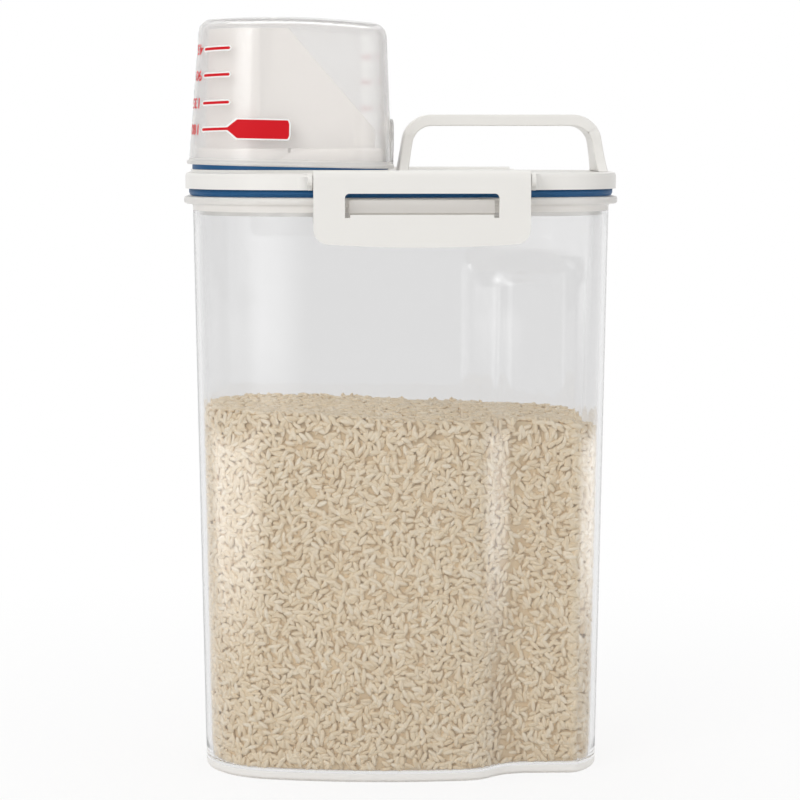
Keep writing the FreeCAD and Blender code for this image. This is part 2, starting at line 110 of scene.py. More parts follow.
floor_mesh = bpy.data.meshes.new("floor")
corners = np.array([(-1, -1, 0), (1, -1, 0), (1, 1, 0), (-1, 1, 0)]) * FLOOR_REACH
floor_mesh.from_pydata(corners.tolist(), [], [(0, 1, 2, 3)])
floor = bpy.data.objects.new("floor", floor_mesh)
bpy.context.scene.collection.objects.link(floor)
floor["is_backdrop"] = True

floor_finish, tree = new_finish("floor_white")
sheet = add(tree, "BsdfDiffuse", {"Color": (FLOOR_GREY, FLOOR_GREY, FLOOR_GREY, 1)})
paper = add(tree, "Emission", {"Color": (1, 1, 1, 1), "Strength": 1.0})
coords = add(tree, "TexCoord")
distance = add(tree, "VectorMath", operation="LENGTH")
fade = add(tree, "MapRange", {"From Min": SHADOW_REACH, "From Max": CLEAR_REACH, "To Min": NEAR_WHITE})
share = add(tree, "Math", operation="MULTIPLY")
blend = add(tree, "MixShader")
out = add(tree, "OutputMaterial")
tree.links.new(coords.outputs["Object"], distance.inputs[0])
tree.links.new(distance.outputs["Value"], fade.inputs["Value"])
tree.links.new(fade.outputs["Result"], share.inputs[0])
tree.links.new(seen_share(tree, "Is Camera Ray", "Is Glossy Ray", "Is Transmission Ray"), share.inputs[1])
tree.links.new(share.outputs[0], blend.inputs[0])
tree.links.new(sheet.outputs[0], blend.inputs[1])
tree.links.new(paper.outputs[0], blend.inputs[2])
tree.links.new(blend.outputs[0], out.inputs["Surface"])
floor_mesh.materials.append(floor_finish)


# The studio is white to the camera, a soft grey as a light, and darker at its sides to mirrors and
# clear plastic, which draws the clear edges. Soft boxes light the jar, and sheets that only mirrors
# see, two tall and two low, show as soft upright bands in its walls and as a veil over the rice.
FILL_LEVEL, SIDE_LEVEL = 0.58, 0.5
SIDE_START, SIDE_FULL = 0.35, 0.95
BOX_AIM, BOX_HEIGHT = (0, 0, 0.15), 1.2

world = bpy.data.worlds.new("studio")
bpy.context.scene.world = world
world.use_nodes = True
tree = world.node_tree
tree.nodes.clear()
fill = add(tree, "Background", {"Color": (1, 0.99, 0.98, 1), "Strength": FILL_LEVEL})
white = add(tree, "Background", {"Color": (1, 1, 1, 1)})
blend = add(tree, "MixShader")
out = add(tree, "OutputWorld")
around = add(tree, "TexCoord")
across = add(tree, "SeparateXYZ")
sideways = add(tree, "Math", operation="ABSOLUTE")
dusk = add(tree, "MapRange", {"From Min": SIDE_START, "From Max": SIDE_FULL, "To Min": 1.0,
                              "To Max": SIDE_LEVEL}, interpolation_type="SMOOTHSTEP")
level = add(tree, "Math", operation="MAXIMUM")
tree.links.new(around.outputs["Generated"], across.inputs[0])
tree.links.new(across.outputs["X"], sideways.inputs[0])
tree.links.new(sideways.outputs[0], dusk.inputs["Value"])
tree.links.new(dusk.outputs["Result"], level.inputs[0])
tree.links.new(seen_share(tree, "Is Camera Ray"), level.inputs[1])
tree.links.new(level.outputs[0], white.inputs["Strength"])
tree.links.new(seen_share(tree, "Is Camera Ray", "Is Glossy Ray", "Is Transmission Ray"), blend.inputs[0])
tree.links.new(fill.outputs[0], blend.inputs[1])
tree.links.new(white.outputs[0], blend.inputs[2])
tree.links.new(blend.outputs[0], out.inputs["Surface"])


def soft_box(name, place, target, width, height, watts):
    """Rectangular lamp at a place, turned by the angles of the line from there to its target."""
    lamp = bpy.data.lights.new(name, "AREA")
    lamp.shape = "RECTANGLE"
    lamp.size, lamp.size_y = width, height
    lamp.energy = watts
    holder = bpy.data.objects.new(name, lamp)
    bpy.context.scene.collection.objects.link(holder)
    holder.location = place
    facing = np.array(target, float) - np.array(place, float)
    flat = math.hypot(facing[0], facing[1])
    holder.rotation_euler = (math.atan2(flat, -facing[2]), 0, math.atan2(-facing[0], facing[1]))
    return holder


def bright_sheet(name, turn, reach, width, low, high, glow, soft):
    """Upright sheet that mirrors see and matt things do not, turned in degrees from the jar's front.

    Its brightness is the product of four smooth steps, each rising from an edge over a soft share of
    the sheet: from its left, right, lower and upper edge in turn.
    """
    turn = math.radians(turn)
    middle = (low + high) / 2
    place = (reach * math.sin(turn), -reach * math.cos(turn), middle)
    holder = soft_box(name, place, (0, 0, middle), width, high - low, glow * math.pi * width * (high - low))
    holder.visible_diffuse = False
    holder.visible_camera = False
    lamp = holder.data
    lamp.use_nodes = True
    tree = lamp.node_tree
    tree.nodes.clear()
    spot = add(tree, "NewGeometry")
    across = add(tree, "SeparateXYZ")
    glowing = add(tree, "Emission")
    out = add(tree, "OutputLight")
    tree.links.new(spot.outputs["Parametric"], across.inputs[0])
    level = None
    ends = (("X", 0, soft[0]), ("X", 1, 1 - soft[1]), ("Y", 0, soft[2]), ("Y", 1, 1 - soft[3]))
    for axis, edge, end in ends:
        step = add(tree, "MapRange", {"From Min": edge, "From Max": end}, interpolation_type="SMOOTHSTEP")
        tree.links.new(across.outputs[axis], step.inputs["Value"])
        if level is None:
            level = step.outputs["Result"]
            continue
        both = add(tree, "Math", operation="MULTIPLY")
        tree.links.new(level, both.inputs[0])
        tree.links.new(step.outputs["Result"], both.inputs[1])
        level = both.outputs[0]
    tree.links.new(level, glowing.inputs["Strength"])
    tree.links.new(glowing.outputs[0], out.inputs["Surface"])


for name, place, width, watts in (
    ("key_box", (-1.0, -1.30, 1.0), 1.0, 10.5),
    ("fill_box", (1.4, -0.9, 0.7), 0.9, 1.8),
    ("top_box", (0.0, 0.4, 1.7), 1.4, 6.5),
):
    holder = soft_box(name, place, BOX_AIM, width, BOX_HEIGHT, watts)
    holder.visible_glossy = False
bright_sheet("left_sheet", -38.5, 0.80, 0.567, 0.0, 0.9, 1.25, (0.76, 0.24, 0.1, 0.02))
bright_sheet("right_sheet", 58, 0.80, 1.4, 0.05, 0.9, 1.1, (0.25, 0.2, 0.1, 0.02))
bright_sheet("low_left_sheet", -70, 0.22, 0.34, 0.0, 0.112, 2.1, (0.3, 0.3, 0.6, 0.1))
bright_sheet("low_right_sheet", 84, 0.22, 0.30, 0.0, 0.112, 1.8, (0.3, 0.3, 0.6, 0.1))


# The jar is one clear moulding of rigid plastic: drafted walls, a finger grip drawn into both long
# sides, a rolled flange, and a catch rib under each clip. The walls are 2 mm thick.
MM = 0.001
HALF_LENGTH, HALF_DEPTH, CROWN = 79.05, 48.0, 220.0
SPOUT_R, GRIP_R = 35.0, 30.0
GRIP_FACE, SWELL_X, SWELL_R, HOLLOW_R, EDGE_R = 35.2, 22.0, 20.0, 14.0, 9.0
RIM_Z, LEDGE_LOW, LEDGE_HIGH = 219.4, 186.0, 198.0
FOOT_R, FLOOR_Z, FLOOR_R, WALL = 1.8, 3.5, 1.6, 2.0
FROST_Z, PLASTIC_IOR = 214.0, 1.49
DRAFT = math.tan(math.radians(1.0))
CATCH_X, CATCH_HALF, CATCH_RINGS = 6.3, 26.6, 25
# Points along each run of half a plan and of the two ends. Both plans use them, so that they match
# point for point.
COUNTS = (10, 6, 6, 6, 8, 10, 34, 18)
SPOUT_END_COUNT, GRIP_END_COUNT = 6, 8
WALL_START, UPPER_LEVELS = 12, [202.0, 206.0, 210.0, FROST_Z, 215.4]
crown_y = HALF_DEPTH - CROWN


def heading(a, b):
    """Angle in plan of the line from point a to point b."""
    return math.atan2(b[1] - a[1], b[0] - a[0])


def touching(x, radius):
    """Centre at x of a circle that touches the crowned long side from inside."""
    return (x, crown_y + math.sqrt((CROWN - radius) ** 2 - x * x))


crown_c = (0.0, crown_y)
spout_c = touching(SPOUT_R - HALF_LENGTH, SPOUT_R)
grip_c = touching(HALF_LENGTH - GRIP_R, GRIP_R)
swell_c = touching(SWELL_X, SWELL_R)
hollow_y, edge_y = GRIP_FACE + HOLLOW_R, GRIP_FACE - EDGE_R
hollow_c = (swell_c[0] + math.sqrt((SWELL_R + HOLLOW_R) ** 2 - (hollow_y - swell_c[1]) ** 2), hollow_y)
edge_c = (grip_c[0] + math.sqrt((GRIP_R - EDGE_R) ** 2 - (edge_y - grip_c[1]) ** 2), edge_y)
turn_grip, turn_swell, turn_spout = [heading(crown_c, c) for c in (grip_c, swell_c, spout_c)]


def arc_points(centre, radius, start, end, count):
    """Points of a circle: centre plus radius times (cos, sin) at evenly spaced angles, without the last."""
    angle = np.linspace(start, end, count, endpoint=False)
    return np.stack([centre[0] + radius * np.cos(angle), centre[1] + radius * np.sin(angle)], 1)


def run_points(start, end, count):
    """Points of a straight run: start times (1 - s) plus end times s at even shares s, without the last."""
    share = np.linspace(0, 1, count, endpoint=False)[:, None]
    return np.array(start) * (1 - share) + np.array(end) * share


def closed_ring(half, inset):
    """Whole plan from its back half: that half, the spout end, the mirrored half and the grip end."""
    x, y = HALF_LENGTH - inset, spout_c[1]
    half = np.concatenate([half, [[-x, y]]])
    left = run_points((-x, y), (-x, -y), SPOUT_END_COUNT)[1:]
    right = run_points((x, -grip_c[1]), (x, grip_c[1]), GRIP_END_COUNT)[1:]
    return np.concatenate([half, left, half[::-1] * [1, -1], right])


def plain_plan(inset):
    """Plan above the grips: corner circles and the crowned side, each with its radius less the inset."""
    r, c = GRIP_R - inset, CROWN - inset
    face_turn = heading(grip_c, (edge_c[0], GRIP_FACE))
    hollow_turn = heading(crown_c, (hollow_c[0], GRIP_FACE))
    meet = heading(swell_c, hollow_c)
    joint = (swell_c[0] + SWELL_R * math.cos(meet), swell_c[1] + SWELL_R * math.sin(meet))
    joint_turn = heading(crown_c, joint)
    corner = (0, heading(grip_c, edge_c), face_turn, turn_grip)
    crown = (turn_grip, hollow_turn, joint_turn, turn_swell, turn_spout)
    parts = [arc_points(grip_c, r, a, b, n) for a, b, n in zip(corner, corner[1:], COUNTS[:3])]
    parts += [arc_points(crown_c, c, a, b, n) for a, b, n in zip(crown, crown[1:], COUNTS[3:7])]
    parts.append(arc_points(spout_c, SPOUT_R - inset, turn_spout, math.pi, COUNTS[7]))
    return closed_ring(np.concatenate(parts), inset)


def gripped_plan(inset):
    """Plan through the grips: a flat face between a small corner circle and a hollow and swell circle."""
    y = GRIP_FACE - inset
    seam = CROWN * math.cos(turn_grip)
    parts = [
        arc_points(grip_c, GRIP_R - inset, 0, heading(grip_c, edge_c), COUNTS[0]),
        arc_points(edge_c, EDGE_R - inset, heading(grip_c, edge_c), math.pi / 2, COUNTS[1]),
        run_points((edge_c[0], y), (seam, y), COUNTS[2]),
        run_points((seam, y), (hollow_c[0], y), COUNTS[3]),
        arc_points(hollow_c, HOLLOW_R + inset, -math.pi / 2, heading(hollow_c, swell_c), COUNTS[4]),
        arc_points(swell_c, SWELL_R - inset, heading(swell_c, hollow_c), turn_swell, COUNTS[5]),
        arc_points(crown_c, CROWN - inset, turn_swell, turn_spout, COUNTS[6]),
        arc_points(spout_c, SPOUT_R - inset, turn_spout, math.pi, COUNTS[7]),
    ]
    return closed_ring(np.concatenate(parts), inset)


def body_ring(z, inset):
    """Ring of the jar at height z: the gripped plan, eased to the plain one by 3t^2 - 2t^3 over the ledge."""
    t = min(max((z - LEDGE_LOW) / (LEDGE_HIGH - LEDGE_LOW), 0), 1)
    ease = t * t * (3 - 2 * t)
    plan = gripped_plan(inset) * (1 - ease) + plain_plan(inset) * ease
    return np.column_stack([plan, np.full(len(plan), z)])


def mesh_piece(name, points, faces, finishes, body, kinds=None, smooth=True):
    """New piece on a body from points in millimetres and faces; kinds picks the finish of each face."""
    mesh = bpy.data.meshes.new(name)
    mesh.from_pydata((np.asarray(points, float) * MM).tolist(), [], faces)
    for finish in finishes:
        mesh.materials.append(finish)
    mesh.polygons.foreach_set("use_smooth", np.full(len(mesh.polygons), smooth))
    if kinds is not None:
        mesh.polygons.foreach_set("material_index", np.asarray(kinds, np.int32))
    mesh.validate()
    piece = bpy.data.objects.new(name, mesh)
    bpy.context.scene.collection.objects.link(piece)
    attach(piece, body)
    return piece


def stacked(rings, start=0, caps=(False, False)):
    """Points and faces of rings stacked in order, numbered from start; caps fan the first or last shut."""
    rings = np.asarray(rings)
    levels, around = rings.shape[:2]
    index = start + np.arange(levels * around).reshape(levels, around)
    low, high = index[:-1], index[1:]
    quads = np.stack([low, np.roll(low, -1, 1), np.roll(high, -1, 1), high], -1).reshape(-1, 4).tolist()
    points = rings.reshape(-1, 3)
    if caps[0]:
        points = np.concatenate([points, rings[:1].mean(1)])
        tip, rim = start + len(points) - 1, index[0]
        quads += [[tip, b, a] for a, b in zip(rim.tolist(), np.roll(rim, -1).tolist())]
    if caps[1]:
        points = np.concatenate([points, rings[-1:].mean(1)])
        tip, rim = start + len(points) - 1, index[levels - 1]
        quads += [[tip, a, b] for a, b in zip(rim.tolist(), np.roll(rim, -1).tolist())]
    return points, quads


def shrunk(ring, scales):
    """Copies of a ring drawn in level: its middle plus each scale times the way from there."""
    middle = ring.mean(0)
    return [middle + (ring - middle) * np.array([s, s, 1]) for s in scales]


def clear_plastic(name, colour, roughness, haze=0.0):
    """Clear moulded plastic with a faint flow-line bump. Lamps shine through it to what it holds."""
    finish, tree = new_finish(name)
    shader = add(tree, "BsdfPrincipled", {"Base Color": (*colour, 1), "Transmission Weight": 1.0 - haze,
                                          "Roughness": roughness, "IOR": PLASTIC_IOR})
    coords = add(tree, "TexCoord")
    flow = add(tree, "Mapping", {"Scale": (1, 1, 0.25)})
    noise = add(tree, "TexNoise", {"Scale": 28, "Detail": 1})
    bump = add(tree, "Bump", {"Strength": 0.08, "Distance": 0.0004})
    passing = add(tree, "BsdfTransparent", {"Color": (*[0.75 + c / 4 for c in colour], 1)})
    blend = add(tree, "MixShader")
    out = add(tree, "OutputMaterial")
    tree.links.new(coords.outputs["Object"], flow.inputs["Vector"])
    tree.links.new(flow.outputs[0], noise.inputs["Vector"])
    tree.links.new(noise.outputs["Fac"], bump.inputs["Height"])
    tree.links.new(bump.outputs[0], shader.inputs["Normal"])
    tree.links.new(seen_share(tree, "Is Shadow Ray", "Is Diffuse Ray"), blend.inputs[0])
    tree.links.new(shader.outputs[0], blend.inputs[1])
    tree.links.new(passing.outputs[0], blend.inputs[2])
    tree.links.new(blend.outputs[0], out.inputs["Surface"])
    return finish


def wall_inset(z):
    """How far the drafted wall has drawn in at height z: its depth under the rim times the draft."""
    return (RIM_Z - z) * DRAFT


jar_clear = clear_plastic("jar_clear", (0.845, 0.844, 0.845), 0.02)
rim_frost = clear_plastic("rim_frost", (0.91, 0.89, 0.86), 0.35, haze=0.5)
quarter = np.radians(np.linspace(0, 90, 7))
rings = shrunk(body_ring(0, wall_inset(0) + FOOT_R), np.linspace(0.1, 1, 8))
for turn in quarter[1:]:
    z = FOOT_R * (1 - math.cos(turn))
    rings.append(body_ring(z, wall_inset(z) + FOOT_R * (1 - math.sin(turn))))
low, ledge = np.linspace(WALL_START, LEDGE_LOW, 14), np.linspace(LEDGE_LOW, LEDGE_HIGH, 13)[1:]
levels = np.concatenate([[FLOOR_Z], low, ledge, UPPER_LEVELS])
rings += [body_ring(z, wall_inset(z)) for z in levels]
# The flange and the rim, from outside to inside: the height of each ring and how far it draws in.
lip = [
    (216.0, 0.0), (216.45, -0.4), (216.6, -1.2), (216.6, -2.3), (216.85, -2.95), (217.35, -3.2),
    (218.0, -3.27), (218.65, -3.2), (219.15, -2.95), (RIM_Z, -2.3), (RIM_Z, 0.3), (RIM_Z, WALL - 0.5),
    (219.25, WALL - 0.1),
]
rings += [body_ring(z, inset) for z, inset in lip]
rings += [body_ring(z, wall_inset(z) + WALL) for z in [218.6] + levels[:0:-1].tolist()]
for turn in quarter:
    z = FLOOR_Z + FLOOR_R * (1 - math.sin(turn))
    rings.append(body_ring(z, wall_inset(z) + WALL + FLOOR_R * (1 - math.cos(turn))))
rings += shrunk(rings[-1], np.linspace(1, 0.1, 8)[1:])
points, faces = stacked(rings, caps=(True, True))
ring_z = np.array([ring[0, 2] for ring in rings])
below, above = np.minimum(ring_z[:-1], ring_z[1:]), np.maximum(ring_z[:-1], ring_z[1:])
# Faces above FROST_Z are the frosted rim and flange. The foot and the floor take the same warm frosted finish
# as painted light: its pale warm tone stands in for the rice's colour showing through the base.
frost_and_base_glow = (below >= FROST_Z - 0.01) | (above <= FLOOR_Z)
around = len(rings[0])
kinds = np.concatenate([np.repeat(frost_and_base_glow, around), np.zeros(2 * around)])
jar = mesh_piece("jar_walls", points, faces, [jar_clear, rim_frost], "jar", kinds)
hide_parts("jar_body")

# Section of a catch rib: distance from the jar's middle plane, and height.
catch_section = np.array([
    [46.5, 218.7], [50.0, 218.9], [51.9, 218.9], [52.1, 218.7], [52.1, 214.1], [51.9, 213.9], [49.7, 213.9],
    [46.5, 210.8],
])
for side, name in ((-1, "catch_front"), (1, "catch_rear")):
    grid = np.zeros((CATCH_RINGS, len(catch_section), 3))
    grid[..., 0] = np.linspace(CATCH_X - CATCH_HALF, CATCH_X + CATCH_HALF, CATCH_RINGS)[:, None]
    grid[..., 1] = catch_section[:, 0] * side
    grid[..., 2] = catch_section[:, 1]
    points, faces = stacked(grid, caps=(True, True))
    if side == 1:
        faces = [face[::-1] for face in faces]
    rib = mesh_piece(name, points, faces, [rim_frost], "jar", smooth=False)


# The rice is a loose fill of long grains. A plain bed carries the fill's shape, and single grains
# lie against the wall and over the top, each a small spindle turned its own way.
RICE_MIDDLE, RICE_SLOPE, WAVE = 137.0, 0.0314, 0.8
DIP, DIP_START, DIP_LENGTH = 2.4, 45, 30
BED_BACK, BED_FOOT_BACK, BED_UNDER = 2.0, 2.2, 0.8
BED_LOW, BED_HIGH, BED_RIM = 3.9, 120.0, 134.0
GRAIN_HALF_LENGTH, GRAIN_HALF_WIDTH, GRAIN_HALF_DEPTH = (1.9, 2.5), (0.92, 1.14), (0.68, 0.84)
GRAIN_LAYERS = (("near", 3.7, 0.85), ("next", 3.6, 1.15), ("mid", 3.6, 1.45), ("deep", 3.6, 1.8))
GRAIN_TINT, TINT_SPREAD, WALL_LEAN, TOP_LEAN = 0.55, 0.18, 0.07, 0.12
LOWEST, LAYER_HEIGHT, LAYER_JITTER, LAYER_UNDER = 4.7, 133.5, 0.35, 0.6
TOP_COUNT, TOP_X, TOP_Y, TOP_JITTER = 3700, (-75, 74), (-43, 43), (-0.6, 0.3)
TOP_BACK, TOP_CLEAR, GRAIN_GAP = 1.6, 1.5, 0.1

rice_finish, tree = new_finish("rice_grain")
shader = add(tree, "BsdfPrincipled", {"Roughness": 0.42})
tint = add(tree, "Attribute", attribute_name="grain_tint")
ramp = add(tree, "ValToRGB")
ramp.color_ramp.elements[0].color = (0.80, 0.63, 0.41, 1)
ramp.color_ramp.elements[1].color = (0.97, 0.86, 0.68, 1)
middle = ramp.color_ramp.elements.new(0.45)
middle.color = (0.90, 0.75, 0.53, 1)
out = add(tree, "OutputMaterial")
tree.links.new(tint.outputs["Fac"], ramp.inputs["Fac"])
tree.links.new(ramp.outputs["Color"], shader.inputs["Base Color"])
tree.links.new(shader.outputs[0], out.inputs["Surface"])

bed_finish, tree = new_finish("rice_bed")
shader = add(tree, "BsdfPrincipled", {"Roughness": 0.8})
coords = add(tree, "TexCoord")
grainy = add(tree, "TexNoise", {"Scale": 420})
ramp = add(tree, "ValToRGB")
ramp.color_ramp.elements[0].color = (0.80, 0.62, 0.38, 1)
ramp.color_ramp.elements[1].color = (0.90, 0.74, 0.52, 1)
out = add(tree, "OutputMaterial")
tree.links.new(coords.outputs["Object"], grainy.inputs["Vector"])
tree.links.new(grainy.outputs["Fac"], ramp.inputs["Fac"])
tree.links.new(ramp.outputs["Color"], shader.inputs["Base Color"])
tree.links.new(shader.outputs[0], out.inputs["Surface"])


def rice_top(x, y):
    """Top of the rice: a plane falling with x, waves sin(0.06 x + 1) cos(0.07 y), and a squared dip."""
    waves = WAVE * np.sin(x * 0.06 + 1) * np.cos(y * 0.07)
    dip = DIP * np.clip((x - DIP_START) / DIP_LENGTH, 0, 1) ** 2
    return RICE_MIDDLE - RICE_SLOPE * x + waves - dip


foot = body_ring(BED_LOW, wall_inset(BED_LOW) + WALL + BED_FOOT_BACK)
rings = shrunk(foot, np.linspace(0.1, 1, 5))
bed_levels = [BED_LOW + 1] + np.linspace(WALL_START, BED_HIGH, 16).tolist()
rings += [body_ring(z, wall_inset(z) + WALL + BED_BACK) for z in bed_levels]
bed_rim = body_ring(BED_RIM, wall_inset(BED_RIM) + WALL + BED_BACK)
for ring in shrunk(bed_rim, np.linspace(1, 0.08, 22)):
    ring[:, 2] = rice_top(ring[:, 0], ring[:, 1]) - BED_UNDER
    rings.append(ring)
points, faces = stacked(rings, caps=(True, True))
bed = mesh_piece("rice_bed", points, faces, [bed_finish], "jar")
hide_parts("rice_fill")

# The unit spindle reaches from -1 to 1 along: four rings of six points between two tips.
rng = np.random.default_rng(7)
turns = np.arange(6) * math.pi / 3
girth = np.array([0.55, 0.95, 0.95, 0.55])
along = np.array([-0.8, -0.32, 0.32, 0.8])
barrel = np.stack([
    np.repeat(along, 6),
    np.tile(np.cos(turns), 4) * np.repeat(girth, 6),
    np.tile(np.sin(turns), 4) * np.repeat(girth, 6),
], 1)
grain_points = np.concatenate([[[-1, 0, 0]], barrel, [[1, 0, 0]]])
grain_faces = [[0, 1 + (k + 1) % 6, 1 + k] for k in range(6)]
for row in (1, 7, 13):
    grain_faces += [[row + k, row + (k + 1) % 6, row + 6 + (k + 1) % 6, row + 6 + k] for k in range(6)]
grain_faces += [[25, 19 + k, 19 + (k + 1) % 6] for k in range(6)]


def unit(rows):
    """Each row divided by its length."""
    return rows / np.linalg.norm(rows, axis=1)[:, None]


def grains(name, centre, normal, lean):
    """Spindles across the normals at given centres, each at a random heading and above the jar's floor.

    A point is its grain's centre plus the unit spindle's three coordinates, each times half the grain's
    length, width or depth, along the grain's own three axes.
    """
    count = len(centre)
    normal = unit(normal)
    side = unit(np.cross(normal, rng.normal(size=(count, 3))))
    long = unit(side + normal * rng.normal(0, lean, (count, 1)))
    wide = unit(np.cross(normal, long))
    deep = np.cross(long, wide)
    limits = (GRAIN_HALF_LENGTH, GRAIN_HALF_WIDTH, GRAIN_HALF_DEPTH)
    size = np.stack([rng.uniform(low, high, count) for low, high in limits], 1)
    shape = (grain_points[None] * size[:, None])[..., None]
    points = centre[:, None] + shape[:, :, 0] * long[:, None] + shape[:, :, 1] * wide[:, None]
    points = points + shape[:, :, 2] * deep[:, None]
    points[..., 2] += np.maximum(FLOOR_Z + GRAIN_GAP - points[..., 2].min(1), 0)[:, None]
    base = np.array([face + face[-1:] * (4 - len(face)) for face in grain_faces])
    faces = (base[None] + (np.arange(count) * len(grain_points))[:, None, None]).reshape(-1, 4)
    faces = [face[:3] if face[2] == face[3] else face for face in faces.tolist()]
    piece = mesh_piece(name, points.reshape(-1, 3), faces, [rice_finish], "jar")
    tint = piece.data.attributes.new("grain_tint", "FLOAT", "POINT")
    value = np.clip(rng.normal(GRAIN_TINT, TINT_SPREAD, count), 0, 1)
    tint.data.foreach_set("value", np.repeat(value, len(grain_points)).astype(np.float32))


def wall_places(cell, depth):
    """Places on the fill's wall with normals, one at random in each cell of a net round it and up it."""
    ring = gripped_plan(0)
    step = np.roll(ring, -1, 0) - ring
    reach = np.concatenate([[0], np.cumsum(np.hypot(step[:, 0], step[:, 1]))])
    columns, rows = int(reach[-1] / cell), int(LAYER_HEIGHT / cell)
    column, row = [net.ravel() for net in np.meshgrid(np.arange(columns), np.arange(rows))]
    count = len(row)
    z = LOWEST + (row + rng.uniform(0, 1, count)) * LAYER_HEIGHT / rows
    at = np.interp((column + rng.uniform(0, 1, count)) / columns * reach[-1], reach, np.arange(len(ring) + 1))
    first = at.astype(int) % len(ring)
    part = (at - at.astype(int))[:, None]
    nearest = ring[first] * (1 - part) + np.roll(ring, -1, 0)[first] * part
    outward = unit(np.stack([step[first, 1], -step[first, 0]], 1))
    inset = wall_inset(z) + WALL + depth + rng.uniform(0, LAYER_JITTER, count)
    centre = np.column_stack([nearest - outward * inset[:, None], z])
    normal = np.column_stack([outward, np.zeros(count)])
    keep = z < rice_top(centre[:, 0], centre[:, 1]) - LAYER_UNDER
    return centre[keep], normal[keep]


for name, cell, depth in GRAIN_LAYERS:
    centre, normal = wall_places(cell, depth)
    for half, part in enumerate(np.array_split(np.arange(len(centre)), 2)):
        grains("rice_wall_%s_%d" % (name, half), centre[part], normal[part], WALL_LEAN)
spots = np.stack([rng.uniform(*TOP_X, TOP_COUNT), rng.uniform(*TOP_Y, TOP_COUNT)], 1)
inner = body_ring(BED_RIM, wall_inset(BED_RIM) + WALL + TOP_BACK)[:, :2]
angle = np.arctan2(inner[:, 1], inner[:, 0])
order = np.argsort(angle)
far = np.hypot(inner[order, 0], inner[order, 1])
reach = np.interp(np.arctan2(spots[:, 1], spots[:, 0]), angle[order], far, period=2 * math.pi)
spots = spots[np.hypot(spots[:, 0], spots[:, 1]) < reach - TOP_CLEAR]
heights = rice_top(spots[:, 0], spots[:, 1]) + rng.uniform(*TOP_JITTER, len(spots))
grains("rice_top", np.column_stack([spots, heights]), np.tile([0.0, 0.0, 1.0], (len(spots), 1)), TOP_LEAN)


# The lid is an opaque white moulding with a satin skin. Its plug reaches down inside the rim, and
# the ears of the clips and the spout's plinth are moulded with it.
SEAM, FLAT_ANGLE, SMOOTH_ANGLE, EDGE_ANGLE = 0.000004, 0.6, 30, 40


def satin_plastic(name, colour, roughness, grain, coat=0.1, gloss=0.5):
    """Opaque moulded plastic: one colour, a fine even grain in its roughness and bump, and a soft coat."""
    finish, tree = new_finish(name)
    shader = add(tree, "BsdfPrincipled", {"Base Color": (*colour, 1), "Specular IOR Level": gloss,
                                          "Coat Weight": coat, "Coat Roughness": 0.2})
    coords = add(tree, "TexCoord")
    speckle = add(tree, "TexNoise", {"Scale": 1800, "Detail": 2})
    spread = add(tree, "MapRange", {"To Min": roughness - 0.05, "To Max": roughness + 0.07})
    bump = add(tree, "Bump", {"Strength": grain, "Distance": 0.00004})
    out = add(tree, "OutputMaterial")
    tree.links.new(coords.outputs["Object"], speckle.inputs["Vector"])
    tree.links.new(speckle.outputs["Fac"], spread.inputs["Value"])
    tree.links.new(spread.outputs["Result"], shader.inputs["Roughness"])
    tree.links.new(speckle.outputs["Fac"], bump.inputs["Height"])
    tree.links.new(bump.outputs[0], shader.inputs["Normal"])
    tree.links.new(shader.outputs[0], out.inputs["Surface"])
    return finish


def finished_copy(node, name, finish, body, bevel=0.0):
    """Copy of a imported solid, its loose triangles joined, smooth over gentle angles, with broken edges."""
    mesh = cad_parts[node].data.copy()
    mesh.name = name
    work = bmesh.new()
    work.from_mesh(mesh)
    bmesh.ops.remove_doubles(work, verts=work.verts, dist=SEAM)
    flat = math.radians(FLAT_ANGLE)
    bmesh.ops.dissolve_limit(work, angle_limit=flat, verts=work.verts, edges=work.edges)
    bmesh.ops.triangulate(work, faces=[f for f in work.faces if len(f.verts) > 4])
    work.to_mesh(mesh)
    work.free()
    mesh.materials.clear()
    mesh.materials.append(finish)
    mesh.polygons.foreach_set("use_smooth", np.ones(len(mesh.polygons), bool))
    mesh.set_sharp_from_angle(angle=math.radians(SMOOTH_ANGLE))
    piece = bpy.data.objects.new(name, mesh)
    bpy.context.scene.collection.objects.link(piece)
    if bevel:
        soften = piece.modifiers.new("broken_edges", "BEVEL")
        soften.width = bevel * MM
        soften.segments = 2
        soften.limit_method = "ANGLE"
        soften.angle_limit = math.radians(EDGE_ANGLE)
    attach(piece, body)
    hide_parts(node)
    return piece


white_satin = satin_plastic("white_satin", (0.865, 0.852, 0.82), 0.34, 0.3)
lid = finished_copy("lid_shell", "lid_cap", white_satin, "lid")


# The seals are two rings of moulded blue silicone. One is pressed between the lid's skirt and the
# jar's flange, and a flat one lies on the plinth, under the mouth of the cup.
blue_silicone = satin_plastic("blue_silicone", (0.004, 0.080, 0.215), 0.45, 0.5, coat=0.0, gloss=0.35)
for node, name in (("lid_gasket", "gasket_ring"), ("cup_seal", "cup_seal_ring")):
    ring = finished_copy(node, name, blue_silicone, "lid")


# The handle and the clips are the same white plastic as the lid. The handle plugs into two pockets
# of the lid, and the clips turn on pins in the lid's ears and hook on the jar's catches.
handle = finished_copy("handle", "handle_arch", white_satin, "lid", bevel=0.7)
for node in ("clip_front", "clip_rear"):
    clip = finished_copy(node, node + "_plate", white_satin, node, bevel=0.45)


# The spout is a moulded tube of milky plastic in the cup's plan, cut off at a slant. It passes through
# the lid's plinth, and its collar, which also guides the cup, seats in a rebate there.
milky = satin_plastic("milky_plastic", (0.97, 0.925, 0.88), 0.3, 0.2)
spout = finished_copy("spout", "spout_tube", milky, "lid")


